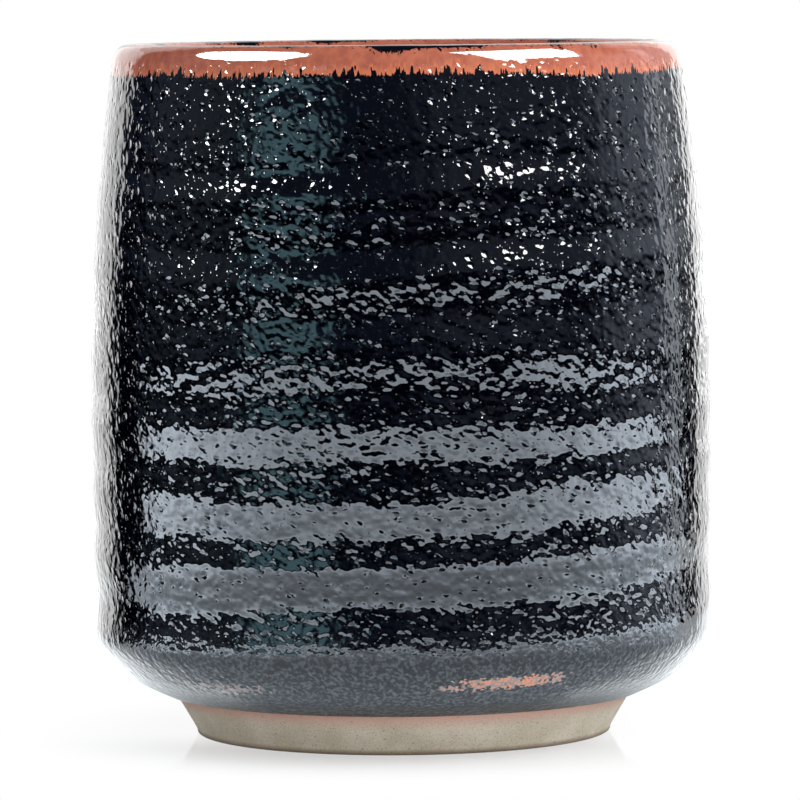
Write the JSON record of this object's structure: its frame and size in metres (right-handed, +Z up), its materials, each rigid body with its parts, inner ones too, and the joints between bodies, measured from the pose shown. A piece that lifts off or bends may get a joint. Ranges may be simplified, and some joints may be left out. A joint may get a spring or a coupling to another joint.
{
  "type": "tea cup",
  "caption": "Handleless stoneware tea cup: barrel-shaped black-glazed wall, rust glaze over the lip, black liner and a bare clay foot ring it stands on.",
  "frame": {"origin": "on the table, under the middle of the foot ring", "axes": "+Z up along the cup's axis; the cup is round, so X and Y are alike; the picture looks along +Y"},
  "size_m": [0.08, 0.08, 0.089],
  "materials": {
    "stoneware": "bare, matt, finely speckled",
    "black_glaze": "glossy, dimpled",
    "rust_glaze": "glossy, breaking to black",
    "liner_glaze": "glossy"
  },
  "bodies": {
    "root": {"clay_body": "stoneware", "foot_ring": "stoneware", "outer_glaze": "black_glaze", "rim_glaze": "rust_glaze", "inner_glaze": "liner_glaze"}
  },
  "joints": []
}
